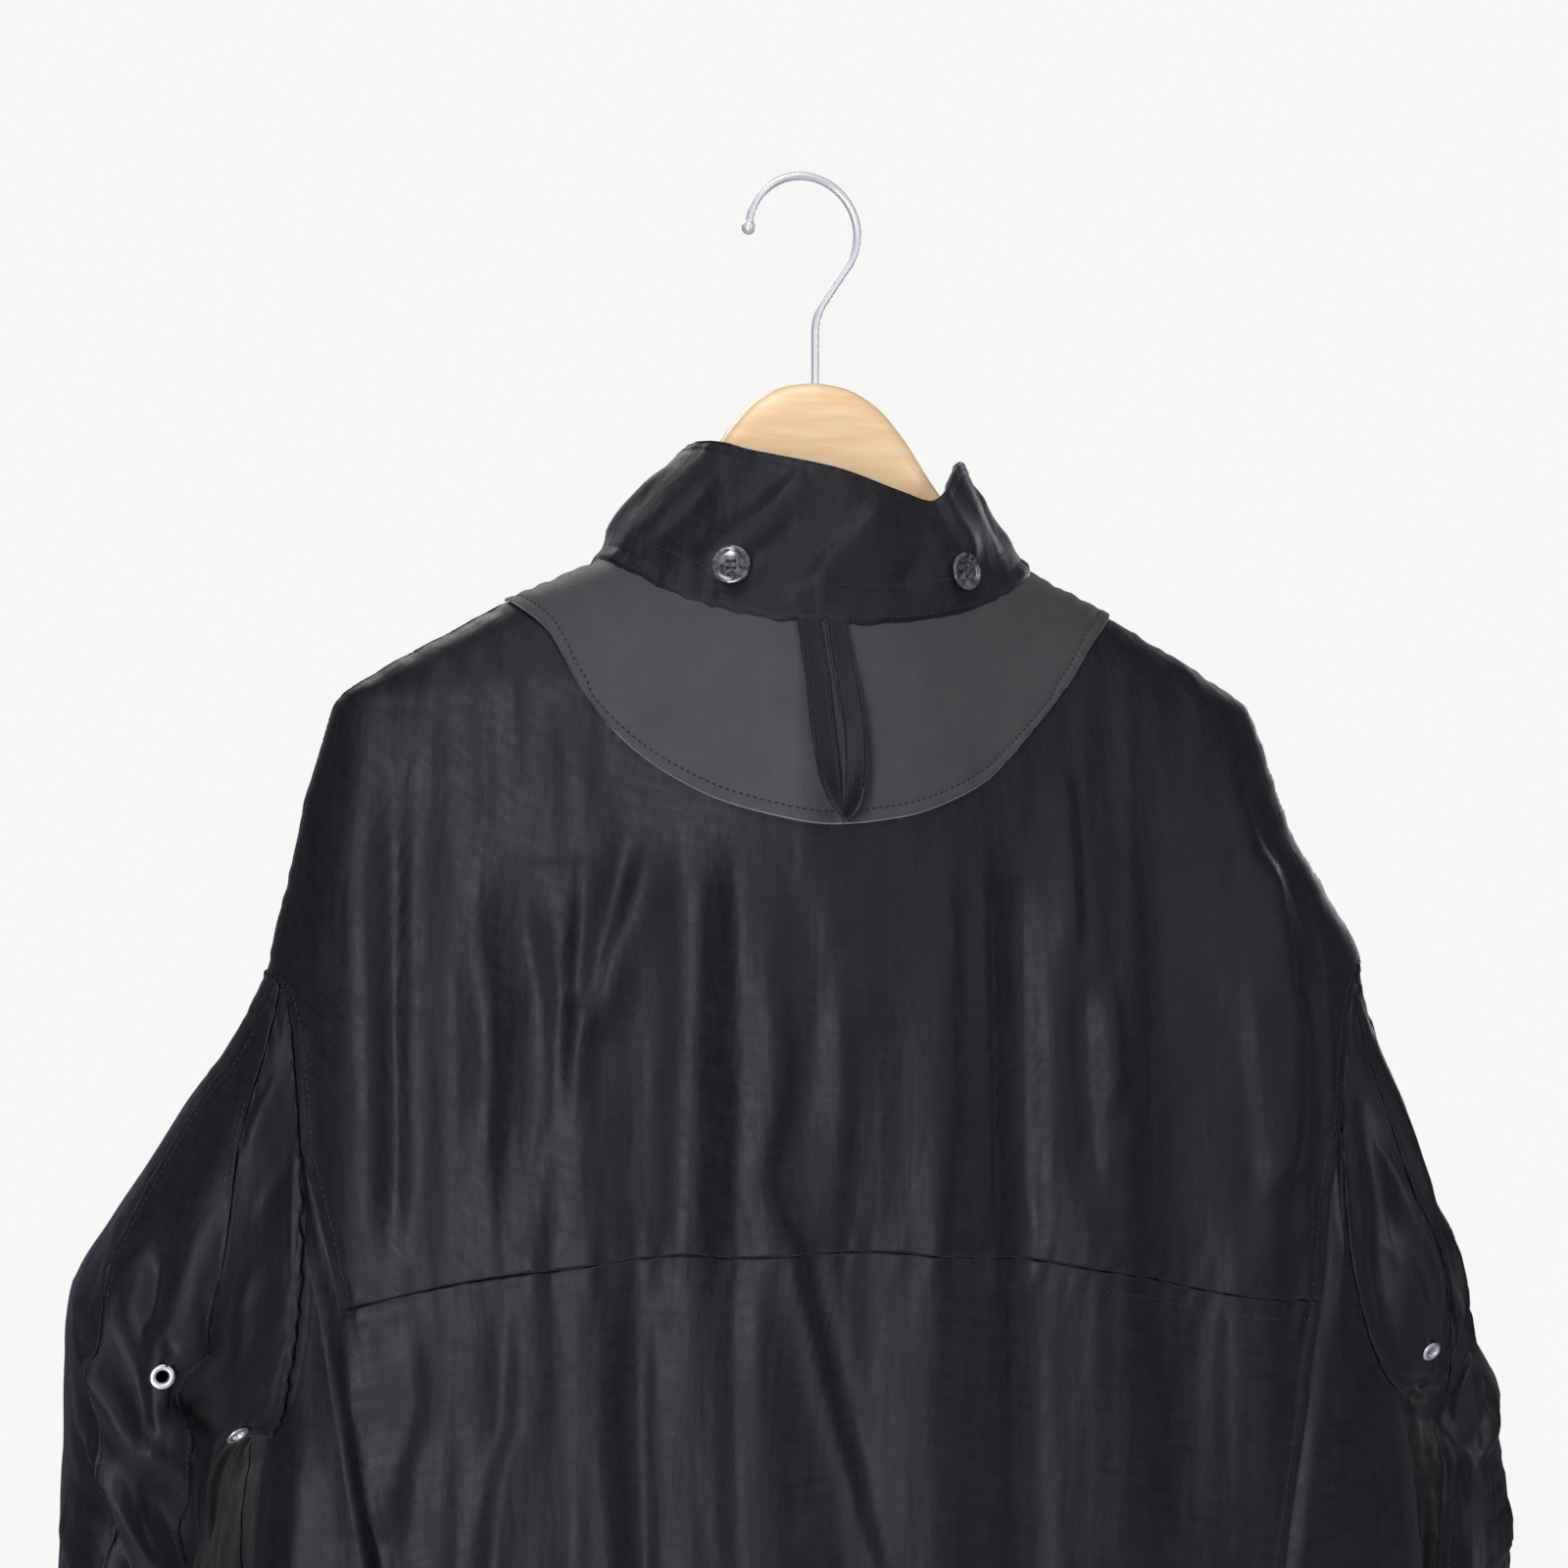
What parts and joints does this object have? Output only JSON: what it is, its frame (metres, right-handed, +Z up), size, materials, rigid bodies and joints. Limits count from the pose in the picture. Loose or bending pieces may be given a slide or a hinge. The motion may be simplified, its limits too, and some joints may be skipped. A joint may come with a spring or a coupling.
{
  "type": "fishing jacket on a wooden hanger",
  "caption": "Stand-collar work jacket with buttoned front, leather back yoke, action pleats and eyelet-vented sleeves, hung on a wooden hanger with a chrome hook.",
  "frame": {"origin": "inside top of the hanger's hook, where it rests on a rail", "axes": "+Z up, -Y towards the jacket's front, +X towards the wearer's left"},
  "size_m": [0.745, 0.2315, 0.9638],
  "materials": {
    "shell cloth": "matt, close weave, faint sheen",
    "collar cloth": "matt ribbed weave",
    "leather": "matt, mottled",
    "button horn": "polished, marbled",
    "eyelet metal": "pressed, satin",
    "beech": "clear satin lacquer",
    "chrome": "polished"
  },
  "bodies": {
    "root": {"back_lower": "shell cloth", "back_side_left": "shell cloth", "back_side_right": "shell cloth", "back_yoke": "shell cloth", "collar": "collar cloth", "collar_button_left": "button horn", "collar_button_right": "button horn", "cuff_left": "shell cloth", "cuff_right": "shell cloth", "eyelet_left_1": "eyelet metal", "eyelet_left_2": "eyelet metal", "eyelet_right_1": "eyelet metal", "eyelet_right_2": "eyelet metal", "front_button_1": "button horn", "front_button_2": "button horn", "front_button_3": "button horn", "front_button_4": "button horn", "front_button_5": "button horn", "front_button_6": "button horn", "front_left": "shell cloth", "front_placket": "shell cloth", "front_right": "shell cloth", "hanger_hook": "chrome", "hanger_loop": "collar cloth", "hanger_wood": "beech", "leather_yoke": "leather", "sleeve_back_left": "shell cloth", "sleeve_back_right": "shell cloth", "sleeve_outer_left": "shell cloth", "sleeve_outer_right": "shell cloth", "sleeve_under_left": "shell cloth", "sleeve_under_right": "shell cloth"}
  },
  "joints": []
}
